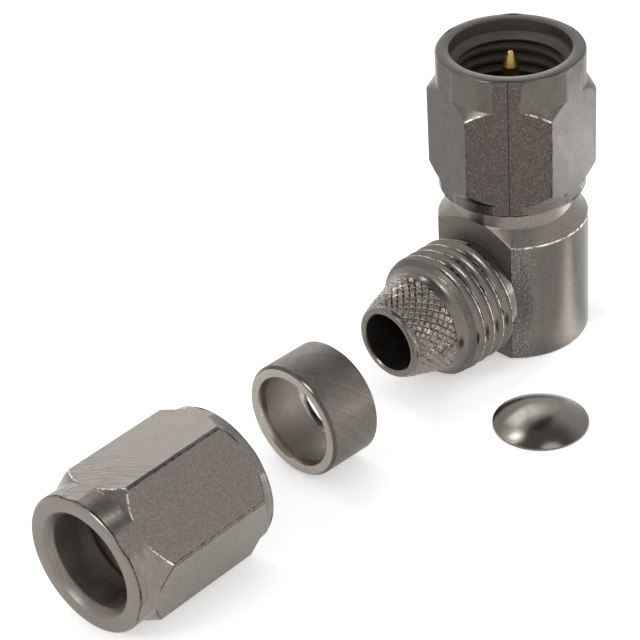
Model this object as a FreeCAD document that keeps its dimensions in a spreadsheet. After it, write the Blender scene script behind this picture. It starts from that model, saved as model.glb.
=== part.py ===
"""Right-angle SMA plug for clamped coaxial cable, laid out as a kit.

The elbow stands on its base with the mating face up and the cable port along -X.
The clamp ring, the long clamp nut and the domed access cap lie loose beside it.
The origin is on the plug's axis in the mating reference plane, where the sleeve ends.
Lengths are in millimetres, and heights in the tables count from the elbow's base.
"""

import FreeCAD
import Part
import Sketcher

import math
import os
import re

SIZES = {
    # Elbow body
    "body_radius": 4.2,  # turned lower cylinder
    "body_edge": 0.12,  # bevel on the base's outer edge
    "shoulder_height": 7.29,  # top of the lower cylinder, where its cone starts
    "neck_height": 8.04,  # top of the cone, where the neck starts
    "neck_radius": 3.3,  # neck that the coupling nut turns on
    "sleeve_length": 3.65,  # sleeve past the neck's end face, which the gasket lies on
    "sleeve_radius": 2.3,  # outer conductor sleeve
    "sleeve_bore": 2.06,  # bore of the sleeve, filled by the insulators
    "sleeve_edge": 0.1,  # bevel at the sleeve's mouth
    "reference_height": 14.65,  # end of the sleeve, the mating reference plane
    "cavity_radius": 2.35,  # room round the solder joint
    "cavity_top": 5.5,  # ceiling of the solder room
    "cap_seat_depth": 0.9,  # counterbore for the access cap
    "flat_offset": 3.22,  # milled flat, measured from the plug's axis
    "port_height": 3.56,  # cable axis above the base
    "port_bore": 2.6,  # bore that takes the bushing's spigot
    "port_passage": 1.9,  # way from that bore into the solder room
    # Nut retention
    "clip_set_back": 0.77,  # middle of the retaining ring, below the neck's end face
    "clip_thickness": 0.44,  # retaining ring along the axis
    "clip_inner": 3.0,  # inside of the retaining ring
    "clip_outer": 3.56,  # outside of the retaining ring
    "clip_gap_angle": 32.0,  # opening of the split ring, in degrees
    "clip_play": 0.04,  # room round the retaining ring in its grooves
    "turning_gap": 0.06,  # radial clearance of the nut on the neck
    # Coupling nut
    "nut_flats": 8.0,  # across the flats
    "nut_turn": 9.5,  # corner seen from the side, in degrees from +X
    "nut_collar": 4.08,  # turned radius at both ends
    "nut_skirt": 1.8,  # how far the nut hangs over the neck
    "nut_corner_break": 0.02,  # turned off the hexagon's corners
    "nut_length": 8.26,  # overall length
    "nut_low_collar": 0.66,  # lower collar along the axis
    "nut_top_collar": 1.88,  # upper collar along the axis
    "nut_low_cone": 0.6,  # lower corner chamfer along the axis
    "nut_top_cone": 0.55,  # upper corner chamfer along the axis
    "nut_edge": 0.08,  # bevel on the outer end edges
    "nut_mouth": 3.34,  # smooth counterbore at the mouth
    "nut_mouth_depth": 0.6,  # depth of that counterbore
    "nut_step": 0.13,  # flat step at the counterbore's bottom
    "nut_lead": 0.36,  # lead-in cone along the axis
    "nut_thread": 2.84,  # thread cut to its minor radius
    "nut_shoulder_gap": 0.35,  # inner shoulder above the neck's end face
    # Gasket
    "gasket_wall": 0.44,  # radial width of the ring
    "gasket_thickness": 0.5,  # along the axis
    "gasket_gap": 0.03,  # radial clearance on the sleeve
    # Centre contact
    "pin_radius": 0.46,  # mating pin
    "pin_length": 1.74,  # straight part of the pin past the sleeve
    "pin_taper": 0.81,  # cone at the pin's end
    "pin_tip": 0.14,  # flat end of that cone
    "contact_radius": 0.635,  # shank inside the insulators
    "contact_shoulder": 0.9,  # collar trapped between the insulators
    "shoulder_half": 0.4,  # half the collar along the axis
    "solder_radius": 0.8,  # solder end
    "solder_reach": 1.26,  # solder end below the cable axis
    "solder_gap": 0.3,  # solder end below the solder room's ceiling
    "slot_width": 0.96,  # slot for the cable's inner conductor
    "slot_roof": 0.48,  # slot's roof above the cable axis
    # Insulators
    "rear_length": 3.5,  # rear insulator, up to the plane where the two meet
    "fit_gap": 0.01,  # clearance of pieces pushed together
    # Cable bushing
    "spigot_length": 0.75,  # length inside the elbow
    "relief_radius": 3.1,  # groove behind the thread
    "relief_length": 0.36,  # width of that groove
    "thread_radius": 3.55,  # cable thread over its crests
    "thread_length": 3.62,  # thread with its lead bevel
    "thread_bevel": 0.35,  # lead bevel of the thread
    "thread_pitch": 0.75,  # cable thread, which the solid shows as rings
    "thread_depth": 0.35,  # from its crests to its roots
    "thread_crest": 0.1,  # flat of its crests
    "knurl_base": 2.9,  # knurled cone at its thick end
    "knurl_set_back": 0.2,  # that end, past the thread's end
    "tip_radius": 2.09,  # outer radius at the cable end
    "tip_distance": 10.31,  # cable end from the plug's axis
    "tip_edge": 0.12,  # bevel on the lip at the cable end
    "cable_bore": 1.69,  # bore for the cable's insulation
    "tip_lead": 0.08,  # lead-in of that bore
    # Clamp ring
    "ring_play": 0.07,  # radial room in the clamp nut's thread
    "ring_inner": 2.475,  # inside
    "ring_length": 3.25,  # along its axis
    "ring_edge": 0.22,  # bevel on the outer edges
    "ring_distance": 18.5,  # cable-side face from the plug's axis
    "ring_aside": -0.94,  # sideways place
    # Clamp nut
    "clamp_wall": 0.2,  # from the bushing's thread crests out to the flats
    "clamp_length": 9.35,  # overall length
    "clamp_cable_collar": 3.8,  # turned radius at the cable end
    "clamp_collar_wall": 0.32,  # from those crests out to the turned threaded end
    "clamp_corner_start": 2.01,  # full corners begin, from the cable end
    "clamp_corner_end": 8.36,  # full corners end
    "clamp_cable_cone": 0.63,  # corner chamfer at the cable end
    "clamp_ring_cone": 0.46,  # corner chamfer at the threaded end
    "clamp_edge": 0.12,  # bevel on the outer end edges
    "cable_hole": 2.61,  # hole that the cable passes
    "cable_mouth": 2.94,  # mouth of that hole
    "cable_mouth_depth": 0.5,  # depth of that mouth
    "thread_overlap": 0.28,  # how deep the clamp nut's inside thread reaches into the bushing's
    "clamp_thread_depth": 6.9,  # depth of the threaded bore
    "clamp_shoulder_cone": 0.4,  # cone that presses on the clamp ring
    "clamp_thread_bevel": 0.3,  # lead bevel of the inside thread
    "clamp_distance": 34.12,  # cable-side face from the plug's axis
    "clamp_aside": -2.8,  # sideways place
    "clamp_yaw": 3.4,  # turn about the vertical, in degrees
    "clamp_roll": 49.0,  # a corner's angle above the horizontal, in degrees
    "clamp_corner_break": 0.04,  # turned off the hexagon's corners
    # Access cap
    "cap_radius": 2.6,  # outside, which drops into the elbow's seat
    "cap_gap": 0.02,  # radial clearance in that seat
    "cap_rim": 0.16,  # upright rim
    "cap_height": 0.78,  # top of the dome
    "cap_wall": 0.3,  # sheet thickness
    "cap_ahead": -6.75,  # place along X
    "cap_aside": -7.87,  # place along Y
}


FOLLOWING = {
    "neck_top": "=reference_height - sleeve_length",
    "clip_height": "=neck_top - clip_set_back",
    "nut_bottom": "=neck_top - nut_skirt",
    "nut_shoulder": "=neck_top + nut_shoulder_gap",
    "nut_corner": "=nut_flats / sqrt(3) - nut_corner_break",
    "solder_bottom": "=port_height - solder_reach",
    "solder_top": "=cavity_top - solder_gap",
    "split_height": "=cavity_top + rear_length",
    "clamp_flats": "=2 * (thread_radius + clamp_wall)",
    "clamp_corner": "=clamp_flats / sqrt(3) - clamp_corner_break",
    "clamp_ring_collar": "=thread_radius + clamp_collar_wall",
    "clamp_thread": "=thread_radius - thread_overlap",
    "ring_outer": "=clamp_thread - ring_play",
}


def fill_sheet(doc):
    """The spreadsheet of driving dimensions, and of places that follow from them."""
    sheet = doc.addObject("Spreadsheet::Sheet", "Sizes")
    for row, (name, value) in enumerate({**SIZES, **FOLLOWING}.items(), 1):
        sheet.set(f"A{row}", name.replace("_", " "))
        sheet.set(f"B{row}", str(value))
        sheet.setAlias(f"B{row}", name)
    doc.recompute()
    return sheet


def tied(formula):
    """A formula in sheet names, written as the document's objects read it."""
    return re.sub(r"\b([a-z]\w*)\b(?!\()", r"Sizes.\1", formula)


def bind(thing, **formulas):
    """Tie properties of an object to formulas in sheet names."""
    for name, formula in formulas.items():
        thing.setExpression(name.replace("__", "."), tied(formula))


def plane(body, role):
    """One of the body's own origin planes or axes."""
    return next(item for item in body.Origin.OriginFeatures if item.Role == role)


def new_sketch(body, name, role):
    """An empty sketch on one of the body's own planes."""
    sketch = body.newObject("Sketcher::SketchObject", name)
    sketch.AttachmentSupport = [(plane(body, role), "")]
    sketch.MapMode = "FlatFace"
    return sketch


def place_point(sketch, line, end, name, formulas, start):
    """Dimension one end of a line from the sketch's origin, across and up."""
    for kind, label, formula, value in (
        ("DistanceX", name + "_across", formulas[0], start.x),
        ("DistanceY", name + "_up", formulas[1], start.y),
    ):
        index = sketch.addConstraint(Sketcher.Constraint(kind, -1, 1, line, end, value))
        sketch.renameConstraint(index, label)
        sketch.setExpression("Constraints." + label, tied(formula))


def outline(body, name, role, corners):
    """A closed outline of straight edges, each corner a pair of formulas."""
    sketch = new_sketch(body, name, role)
    count = len(corners)
    angles = [2 * math.pi * i / count for i in range(count)]
    points = [FreeCAD.Vector(6 + 4 * math.cos(a), 6 + 4 * math.sin(a), 0) for a in angles]
    for i in range(count):
        sketch.addGeometry(Part.LineSegment(points[i], points[(i + 1) % count]))
    for i in range(count):
        sketch.addConstraint(Sketcher.Constraint("Coincident", i, 2, (i + 1) % count, 1))
    for i, corner in enumerate(corners):
        place_point(sketch, i, 1, f"corner{i}", corner, points[i])
    return sketch


def turned(body, name, corners, angle="360"):
    """A solid turned about the body's Z axis from an outline of radius and height pairs."""
    sketch = outline(body, name + "_outline", "XZ_Plane", corners)
    solid = body.newObject("PartDesign::Revolution", name)
    solid.Profile = sketch
    solid.ReferenceAxis = (sketch, ["V_Axis"])
    solid.Midplane = True
    bind(solid, Angle=angle)
    return solid


def rectangle(body, name, role, left, right, bottom, top):
    """A rectangle from four formulas."""
    corners = [(left, bottom), (right, bottom), (right, top), (left, top)]
    return outline(body, name, role, corners)


def new_body(doc, label):
    """An empty body whose label names its file."""
    body = doc.addObject("PartDesign::Body", label)
    body.Label = label
    return body


def on_the_axis(body):
    """Seat a body of the plug's stack, so that its heights count from the elbow's base."""
    bind(body, Placement__Base__z="-reference_height")


def mill_hexagon(doc, body, across):
    """Six flats milled along the whole blank."""
    sketch = rectangle(body, "flat_outline", "XY_Plane",
                       f"{across} / 2", f"{across}", f"-{across}", across)
    cut = body.newObject("PartDesign::Pocket", "flat")
    cut.Profile = sketch
    cut.Type = "ThroughAll"
    cut.SideType = "Symmetric"
    pattern = body.newObject("PartDesign::PolarPattern", "flats")
    pattern.Originals = [cut]
    pattern.Axis = (sketch, ["N_Axis"])
    pattern.Angle = 360
    pattern.Occurrences = 6
    body.Tip = pattern
    doc.recompute()


def drill_port(body, name, radius, start):
    """A round hole along the cable axis, from a distance off the plug's axis outward."""
    sketch = new_sketch(body, name + "_outline", "YZ_Plane")
    bind(sketch, AttachmentOffset__Base__z=f"-({start})")
    sketch.addGeometry(Part.Circle(FreeCAD.Vector(0, 3, 0), FreeCAD.Vector(0, 0, 1), 2))
    sketch.addConstraint(Sketcher.Constraint("PointOnObject", 0, 3, -2))
    for kind, label, formula in (
        (("DistanceY", -1, 1, 0, 3, 3.0), "height", "port_height"),
        (("Radius", 0, 2.0), "bore", radius),
    ):
        index = sketch.addConstraint(Sketcher.Constraint(*kind))
        sketch.renameConstraint(index, label)
        sketch.setExpression("Constraints." + label, tied(formula))
    hole = body.newObject("PartDesign::Pocket", name)
    hole.Profile = sketch
    bind(hole, Length="2 * body_radius")


def make_elbow(doc):
    """Lower cylinder, cone, grooved neck and sleeve in one turned piece, milled and bored."""
    body = new_body(doc, "elbow_body")
    seat = "cap_radius + cap_gap"
    groove_inner = "clip_inner - clip_play"
    groove_low = "clip_height - clip_thickness / 2 - clip_play"
    groove_high = "clip_height + clip_thickness / 2 + clip_play"
    turned(body, "blank", [
        (seat, "0"),
        ("body_radius - body_edge", "0"),
        ("body_radius", "body_edge"),
        ("body_radius", "shoulder_height"),
        ("neck_radius", "neck_height"),
        ("neck_radius", groove_low),
        (groove_inner, groove_low),
        (groove_inner, groove_high),
        ("neck_radius", groove_high),
        ("neck_radius", "neck_top"),
        ("sleeve_radius", "neck_top"),
        ("sleeve_radius", "reference_height - sleeve_edge"),
        ("sleeve_radius - sleeve_edge", "reference_height"),
        ("sleeve_bore", "reference_height"),
        ("sleeve_bore", "cavity_top"),
        ("cavity_radius", "cavity_top"),
        ("cavity_radius", "cap_seat_depth"),
        (seat, "cap_seat_depth"),
    ])
    flat = rectangle(body, "flat_outline", "XY_Plane",
                     "-2 * body_radius", "-flat_offset", "-2 * body_radius", "2 * body_radius")
    mill = body.newObject("PartDesign::Pocket", "milled_flat")
    mill.Profile = flat
    mill.Reversed = True
    bind(mill, Length="neck_height")
    drill_port(body, "passage", "port_passage", "0")
    drill_port(body, "spigot_seat", "port_bore", "flat_offset - spigot_length")
    on_the_axis(body)
    return body


def make_coupling_nut(doc):
    """Hexagon milled on a turned blank, with the ring groove, the thread bore and the mouth."""
    body = new_body(doc, "coupling_nut")
    top = "nut_bottom + nut_length"
    running = "neck_radius + turning_gap"
    groove = "clip_outer + turning_gap"
    groove_low = "clip_height - clip_thickness / 2 - clip_play"
    groove_high = "clip_height + clip_thickness / 2 + clip_play"
    turned(body, "blank", [
        (running, "nut_bottom"),
        ("nut_collar - nut_edge", "nut_bottom"),
        ("nut_collar", "nut_bottom + nut_edge"),
        ("nut_collar", "nut_bottom + nut_low_collar"),
        ("nut_corner", "nut_bottom + nut_low_collar + nut_low_cone"),
        ("nut_corner", top + " - nut_top_collar - nut_top_cone"),
        ("nut_collar", top + " - nut_top_collar"),
        ("nut_collar", top + " - nut_edge"),
        ("nut_collar - nut_edge", top),
        ("nut_mouth", top),
        ("nut_mouth", top + " - nut_mouth_depth"),
        ("nut_mouth - nut_step", top + " - nut_mouth_depth"),
        ("nut_thread", top + " - nut_mouth_depth - nut_lead"),
        ("nut_thread", "nut_shoulder"),
        (running, "nut_shoulder"),
        (running, groove_high),
        (groove, groove_high),
        (groove, groove_low),
        (running, groove_low),
    ])
    mill_hexagon(doc, body, "nut_flats")
    on_the_axis(body)
    body.Placement.Rotation = FreeCAD.Rotation(FreeCAD.Vector(0, 0, 1), 0)
    bind(body, Placement__Rotation__Angle="nut_turn + 30")
    return body


def make_retaining_ring(doc):
    """Split ring that lies half in the neck's groove and half in the nut's."""
    body = new_body(doc, "retaining_ring")
    low = "clip_height - clip_thickness / 2"
    high = "clip_height + clip_thickness / 2"
    corners = [("clip_inner", low), ("clip_outer", low), ("clip_outer", high), ("clip_inner", high)]
    turned(body, "ring", corners, angle="360 - clip_gap_angle")
    on_the_axis(body)
    return body


def make_gasket(doc):
    """Flat ring round the sleeve, on the neck's end face."""
    body = new_body(doc, "face_gasket")
    inner = "sleeve_radius + gasket_gap"
    outer = inner + " + gasket_wall"
    top = "neck_top + gasket_thickness"
    turned(body, "ring", [(inner, "neck_top"), (outer, "neck_top"), (outer, top), (inner, top)])
    on_the_axis(body)
    return body


def make_contact(doc):
    """Pin, shank, trapped collar and slotted solder end, turned in one and slotted across."""
    body = new_body(doc, "centre_contact")
    turned(body, "blank", [
        ("0", "solder_bottom"),
        ("solder_radius", "solder_bottom"),
        ("solder_radius", "solder_top"),
        ("contact_radius", "solder_top"),
        ("contact_radius", "split_height - shoulder_half"),
        ("contact_shoulder", "split_height - shoulder_half"),
        ("contact_shoulder", "split_height + shoulder_half"),
        ("contact_radius", "split_height + shoulder_half"),
        ("contact_radius", "reference_height"),
        ("pin_radius", "reference_height"),
        ("pin_radius", "reference_height + pin_length"),
        ("pin_tip", "reference_height + pin_length + pin_taper"),
        ("0", "reference_height + pin_length + pin_taper"),
    ])
    slot = rectangle(body, "slot_outline", "YZ_Plane", "-slot_width / 2", "slot_width / 2",
                     "solder_bottom - slot_width", "port_height + slot_roof")
    cut = body.newObject("PartDesign::Pocket", "solder_slot")
    cut.Profile = slot
    cut.Type = "ThroughAll"
    cut.SideType = "Symmetric"
    on_the_axis(body)
    return body


def make_insulator(doc, label, low, high):
    """One of the two white sleeves round the contact, with half the room for its collar."""
    body = new_body(doc, label)
    outer = "sleeve_bore - fit_gap"
    inner = "contact_radius + fit_gap"
    pocket = "contact_shoulder + fit_gap"
    upper = low == "split_height"
    step = "split_height + shoulder_half" if upper else "split_height - shoulder_half"
    lower_inner, upper_inner = (pocket, inner) if upper else (inner, pocket)
    turned(body, "sleeve", [
        (lower_inner, low),
        (outer, low),
        (outer, high),
        (upper_inner, high),
        (upper_inner, step),
        (lower_inner, step),
    ])
    on_the_axis(body)
    return body


def cut_thread_rings(body, start, length):
    """Ring grooves of the thread's pitch and depth, along a stretch of the body's axis."""
    near = start + " + thread_crest"
    far = start + " + thread_pitch"
    middle = f"({near} + {far}) / 2"
    notch = outline(body, "thread_groove_outline", "XZ_Plane", [
        ("thread_radius - thread_depth", middle),
        ("thread_radius + thread_depth", f"2 * ({near}) - {middle}"),
        ("thread_radius + thread_depth", f"2 * ({far}) - {middle}"),
    ])
    groove = body.newObject("PartDesign::Groove", "thread_groove")
    groove.Profile = notch
    groove.ReferenceAxis = (notch, ["V_Axis"])
    groove.Angle = 360
    rings = body.newObject("PartDesign::LinearPattern", "thread_rings")
    rings.Originals = [groove]
    rings.Direction = (notch, ["V_Axis"])
    count = f"floor(({length}) / thread_pitch)"
    bind(rings, Occurrences=count, Length=f"({count} - 1) * thread_pitch")
    body.Tip = rings


def make_bushing(doc):
    """Spigot, thread, knurl cone and bevelled cable end, modelled along its own axis."""
    body = new_body(doc, "cable_bushing")
    thread_start = "flat_offset + relief_length"
    face = thread_start + " + thread_length"
    turned(body, "blank", [
        ("cable_bore", "flat_offset - spigot_length"),
        ("port_bore - fit_gap", "flat_offset - spigot_length"),
        ("port_bore - fit_gap", "flat_offset"),
        ("relief_radius", "flat_offset"),
        ("relief_radius", thread_start),
        ("thread_radius", thread_start),
        ("thread_radius", face + " - thread_bevel"),
        ("thread_radius - thread_bevel", face),
        ("knurl_base", face + " + knurl_set_back"),
        ("tip_radius", "tip_distance - tip_edge"),
        ("tip_radius - tip_edge", "tip_distance"),
        ("cable_bore + tip_lead", "tip_distance"),
        ("cable_bore", "tip_distance - tip_lead"),
    ])
    cut_thread_rings(body, thread_start, "thread_length - thread_bevel")
    body.Placement.Rotation = FreeCAD.Rotation(FreeCAD.Vector(0, 1, 0), -90)
    bind(body, Placement__Base__z="port_height - reference_height")
    return body


def make_clamp_ring(doc):
    """Short plain sleeve that grips the braid, lying on its side."""
    body = new_body(doc, "clamp_ring")
    turned(body, "sleeve", [
        ("ring_inner", "0"),
        ("ring_outer - ring_edge", "0"),
        ("ring_outer", "ring_edge"),
        ("ring_outer", "ring_length - ring_edge"),
        ("ring_outer - ring_edge", "ring_length"),
        ("ring_inner", "ring_length"),
    ])
    body.Placement.Rotation = FreeCAD.Rotation(FreeCAD.Vector(0, 1, 0), 90)
    bind(body, Placement__Base__x="-ring_distance", Placement__Base__y="ring_aside",
         Placement__Base__z="ring_outer - reference_height")
    return body


def make_clamp_nut(doc, sheet):
    """Long nut with a turned end at each side of its hexagon, lying on the edge of a corner."""
    body = new_body(doc, "clamp_nut")
    floor_of_thread = "clamp_length - clamp_thread_depth"
    turned(body, "blank", [
        ("cable_mouth", "0"),
        ("clamp_cable_collar - clamp_edge", "0"),
        ("clamp_cable_collar", "clamp_edge"),
        ("clamp_cable_collar", "clamp_corner_start - clamp_cable_cone"),
        ("clamp_corner", "clamp_corner_start"),
        ("clamp_corner", "clamp_corner_end"),
        ("clamp_ring_collar", "clamp_corner_end + clamp_ring_cone"),
        ("clamp_ring_collar", "clamp_length - clamp_edge"),
        ("clamp_ring_collar - clamp_edge", "clamp_length"),
        ("clamp_thread + clamp_thread_bevel", "clamp_length"),
        ("clamp_thread", "clamp_length - clamp_thread_bevel"),
        ("clamp_thread", floor_of_thread),
        ("cable_hole", floor_of_thread + " - clamp_shoulder_cone"),
        ("cable_hole", "cable_mouth_depth"),
    ])
    mill_hexagon(doc, body, "clamp_flats")
    upright = FreeCAD.Vector(0, 0, 1)
    lie_down = FreeCAD.Rotation(FreeCAD.Vector(0, 1, 0), 90)
    yaw = FreeCAD.Rotation(upright, sheet.clamp_yaw)
    roll = FreeCAD.Rotation(upright, sheet.clamp_roll)
    body.Placement.Rotation = yaw * lie_down * roll
    edge = "acos(clamp_flats / 2 / clamp_corner) + (clamp_roll - 60) * 1deg"
    bind(body, Placement__Base__x="-clamp_distance", Placement__Base__y="clamp_aside",
         Placement__Base__z=f"clamp_corner * cos({edge}) - reference_height")
    return body


def make_access_cap(doc, sheet):
    """Domed sheet disc with a short upright rim, lying crown up."""
    body = new_body(doc, "access_cap")
    sketch = new_sketch(body, "dome_outline", "XZ_Plane")
    inner = sheet.cap_radius - sheet.cap_wall
    under = sheet.cap_height - sheet.cap_wall
    spots = {
        "rim_inside": (inner, 0.0, "cap_radius - cap_wall", "0"),
        "rim_foot": (sheet.cap_radius, 0.0, "cap_radius", "0"),
        "rim_top": (sheet.cap_radius, sheet.cap_rim, "cap_radius", "cap_rim"),
        "crown": (0.0, sheet.cap_height, "0", "cap_height"),
        "under_crown": (0.0, under, "0", "cap_height - cap_wall"),
    }
    at = {name: FreeCAD.Vector(spot[0], spot[1], 0) for name, spot in spots.items()}
    sketch.addGeometry(Part.LineSegment(at["rim_inside"], at["rim_foot"]))
    sketch.addGeometry(Part.LineSegment(at["rim_foot"], at["rim_top"]))
    sketch.addGeometry(dome_arc(at["rim_top"], at["crown"]))
    sketch.addGeometry(Part.LineSegment(at["crown"], at["under_crown"]))
    sketch.addGeometry(dome_arc(at["rim_inside"], at["under_crown"]))
    for first, end, second, start in ((0, 2, 1, 1), (1, 2, 2, 1), (2, 2, 3, 1), (3, 2, 4, 2), (4, 1, 0, 1)):
        sketch.addConstraint(Sketcher.Constraint("Coincident", first, end, second, start))
    for arc in (2, 4):
        sketch.addConstraint(Sketcher.Constraint("PointOnObject", arc, 3, -2))
    for line, end, name in ((0, 1, "rim_inside"), (0, 2, "rim_foot"), (1, 2, "rim_top"),
                            (3, 1, "crown"), (3, 2, "under_crown")):
        place_point(sketch, line, end, name, spots[name][2:], at[name])
    solid = body.newObject("PartDesign::Revolution", "dome")
    solid.Profile = sketch
    solid.ReferenceAxis = (sketch, ["V_Axis"])
    solid.Angle = 360
    bind(body, Placement__Base__x="cap_ahead", Placement__Base__y="cap_aside",
         Placement__Base__z="-reference_height")
    return body


def dome_arc(foot, crown):
    """Arc from a foot point up to a crown on the axis, centred on the axis."""
    rise = crown.y - foot.y
    radius = (foot.x ** 2 + rise ** 2) / (2 * rise)
    centre = FreeCAD.Vector(0, crown.y - radius, 0)
    circle = Part.Circle(centre, FreeCAD.Vector(0, 0, 1), radius)
    return Part.ArcOfCircle(circle, math.atan2(foot.y - centre.y, foot.x), math.pi / 2)


def check(doc, bodies):
    """Stop if any feature failed or any piece is not one sound solid."""
    for item in doc.Objects:
        if "Invalid" in item.State or "Error" in item.State:
            raise RuntimeError(f"{item.Label} failed: {item.State}")
    for body in bodies:
        shape = body.Shape
        if shape.isNull() or not shape.isValid() or len(shape.Solids) != 1:
            raise RuntimeError(f"{body.Label} is not one sound solid")


def main():
    doc = FreeCAD.newDocument("sma_plug")
    sheet = fill_sheet(doc)
    bodies = [
        make_elbow(doc),
        make_coupling_nut(doc),
        make_retaining_ring(doc),
        make_gasket(doc),
        make_contact(doc),
        make_insulator(doc, "front_insulator", "split_height", "reference_height"),
        make_insulator(doc, "rear_insulator", "cavity_top", "split_height"),
        make_bushing(doc),
        make_clamp_ring(doc),
        make_clamp_nut(doc, sheet),
        make_access_cap(doc, sheet),
    ]
    doc.recompute()
    check(doc, bodies)
    os.makedirs("parts", exist_ok=True)
    for body in bodies:
        body.Shape.exportStep(f"parts/{body.Label}.step")
        box = body.Shape.optimalBoundingBox(True, False)
        print(f"{body.Label}: {body.Shape.Volume:.3f} mm3, "
              f"x {box.XMin:.2f} to {box.XMax:.2f}, y {box.YMin:.2f} to {box.YMax:.2f}, "
              f"z {box.ZMin:.2f} to {box.ZMax:.2f}")


main()
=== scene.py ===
"""Looks of a right-angle SMA plug as a kit: the elbow, clamp ring, clamp nut and access cap.

Turned pieces are drawn out ring by ring along their outlines, in millimetres, and then seated in
metres. Heights in the outlines of the elbow, its nut and its contact count from the elbow's base.
"""

import math

import bpy
from mathutils import Matrix, Vector
from mathutils.noise import noise_vector, seed_set


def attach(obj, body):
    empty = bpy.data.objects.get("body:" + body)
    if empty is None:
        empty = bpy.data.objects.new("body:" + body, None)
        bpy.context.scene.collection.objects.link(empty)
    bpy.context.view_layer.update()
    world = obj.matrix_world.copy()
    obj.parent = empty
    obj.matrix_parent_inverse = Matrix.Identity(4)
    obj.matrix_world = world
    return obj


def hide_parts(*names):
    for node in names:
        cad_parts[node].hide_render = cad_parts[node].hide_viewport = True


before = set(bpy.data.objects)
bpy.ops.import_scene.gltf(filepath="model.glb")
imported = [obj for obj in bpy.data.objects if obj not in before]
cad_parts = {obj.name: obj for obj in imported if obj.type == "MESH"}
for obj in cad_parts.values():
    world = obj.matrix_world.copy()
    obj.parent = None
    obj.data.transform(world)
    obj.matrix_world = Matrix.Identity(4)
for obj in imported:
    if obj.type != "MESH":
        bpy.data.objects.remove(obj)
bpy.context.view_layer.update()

MM = 0.001
SIDES = 144  # segments round a turned piece
NUT_SIDES = 192  # segments round a nut, so that its chamfers run out in clean curves
THREAD_STEPS = 120  # segments in one turn of a thread
SAME_SPOT = 1e-4  # in millimetres: closer than this, two points are one
PICTURE_WIDTH = 640  # in pixels

PLUG = "plug_and_kit"
NUT = "coupling_nut"

REFERENCE_HEIGHT = 14.65  # the sleeve's end above the elbow's base
PORT_HEIGHT = 3.56  # the cable's axis above it
FLOOR = -REFERENCE_HEIGHT * MM


# Modelling by hand, in code

def bare():
    """Nothing selected, so that an operator acts only on the new piece."""
    if bpy.context.object and bpy.context.object.mode != "OBJECT":
        bpy.ops.object.mode_set(mode="OBJECT")
    bpy.ops.object.select_all(action="DESELECT")


def take(piece):
    """Make a piece the only one selected."""
    bare()
    piece.select_set(True)
    bpy.context.view_layer.objects.active = piece


def edit(piece):
    """Open a piece for editing with everything on it selected."""
    take(piece)
    bpy.ops.object.mode_set(mode="EDIT")
    bpy.ops.mesh.select_mode(type="VERT")
    bpy.ops.mesh.select_all(action="SELECT")


def done():
    bpy.ops.object.mode_set(mode="OBJECT")


def mark(piece, kind, test):
    """Select the faces, edges or corners of a piece that pass a test, and open it for editing."""
    take(piece)
    mesh = piece.data
    for group in (mesh.vertices, mesh.edges, mesh.polygons):
        group.foreach_set("select", [False] * len(group))
    parts = {"VERT": mesh.vertices, "EDGE": mesh.edges, "FACE": mesh.polygons}[kind]
    for part in parts:
        part.select = test(part)
    bpy.ops.object.mode_set(mode="EDIT")
    bpy.ops.mesh.select_mode(type=kind)


def turned(name, outline, sides=SIDES, ends="joined"):
    """A turned piece: a circle drawn out ring by ring along pairs of radius and height."""
    bare()
    radius, height = outline[0]
    bpy.ops.mesh.primitive_circle_add(vertices=sides, radius=radius, location=(0, 0, height))
    piece = bpy.context.object
    piece.name = name
    bpy.ops.object.transform_apply(location=True, rotation=False, scale=False)
    edit(piece)
    rings = outline[1:] + ([outline[0]] if ends == "joined" else [])
    for next_radius, next_height in rings:
        bpy.ops.mesh.extrude_edges_move(
            TRANSFORM_OT_translate={"value": (0, 0, next_height - height)})
        share = next_radius / radius
        if abs(share - 1) > 1e-9:
            bpy.ops.transform.resize(value=(share, share, 1), center_override=(0, 0, next_height))
        radius, height = next_radius, next_height
    if ends == "capped":
        bpy.ops.mesh.merge(type="CENTER")
        done()
        first_radius, first_height = outline[0]
        mark(piece, "VERT", lambda v: abs(v.co.z - first_height) < SAME_SPOT
             and abs(math.hypot(v.co.x, v.co.y) - first_radius) < 10 * SAME_SPOT)
        bpy.ops.mesh.merge(type="CENTER")
    bpy.ops.mesh.select_all(action="SELECT")
    bpy.ops.mesh.remove_doubles(threshold=SAME_SPOT)
    bpy.ops.mesh.normals_make_consistent(inside=False)
    done()
    return piece


def rounding(radius, height, size, start, end, steps):
    """Points of a rounded edge, about a centre given by radius and height, between two angles."""
    angles = [math.radians(start + (end - start) * i / steps) for i in range(steps + 1)]
    return [(radius + size * math.cos(a), height + size * math.sin(a)) for a in angles]


def cut(piece, tool):
    """Cut a piece with a tool, which is then thrown away."""
    take(piece)
    modifier = piece.modifiers.new("cut", "BOOLEAN")
    modifier.operation = "DIFFERENCE"
    modifier.solver = "EXACT"
    modifier.object = tool
    bpy.ops.object.modifier_apply(modifier=modifier.name)
    bpy.data.objects.remove(tool)


def slab(width, depth, height, middle):
    """A block with its sides along the axes."""
    bare()
    bpy.ops.mesh.primitive_cube_add(size=1, location=middle)
    block = bpy.context.object
    block.scale = (width, depth, height)
    bpy.ops.object.transform_apply(location=True, rotation=False, scale=True)
    return block


def heading(degrees):
    """The level direction at an angle from +X."""
    angle = math.radians(degrees)
    return Vector((math.cos(angle), math.sin(angle), 0))


def mill_flats(piece, across, first_corner):
    """Six flats milled along a turned blank; returns the directions that they face."""
    facing = []
    for k in range(6):
        way = heading(first_corner + 30 + 60 * k)
        edit(piece)
        bpy.ops.mesh.bisect(plane_co=way * across / 2, plane_no=way, use_fill=True,
                            clear_outer=True, threshold=1e-5)
        facing.append(way)
    done()
    return facing


def flat_under(face, facing, across):
    """The direction of the milled flat that a face lies on, or None."""
    for way in facing:
        if face.normal.dot(way) > 0.9995 and face.center.dot(way) > across / 2 - 0.02:
            return way
    return None


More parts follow.
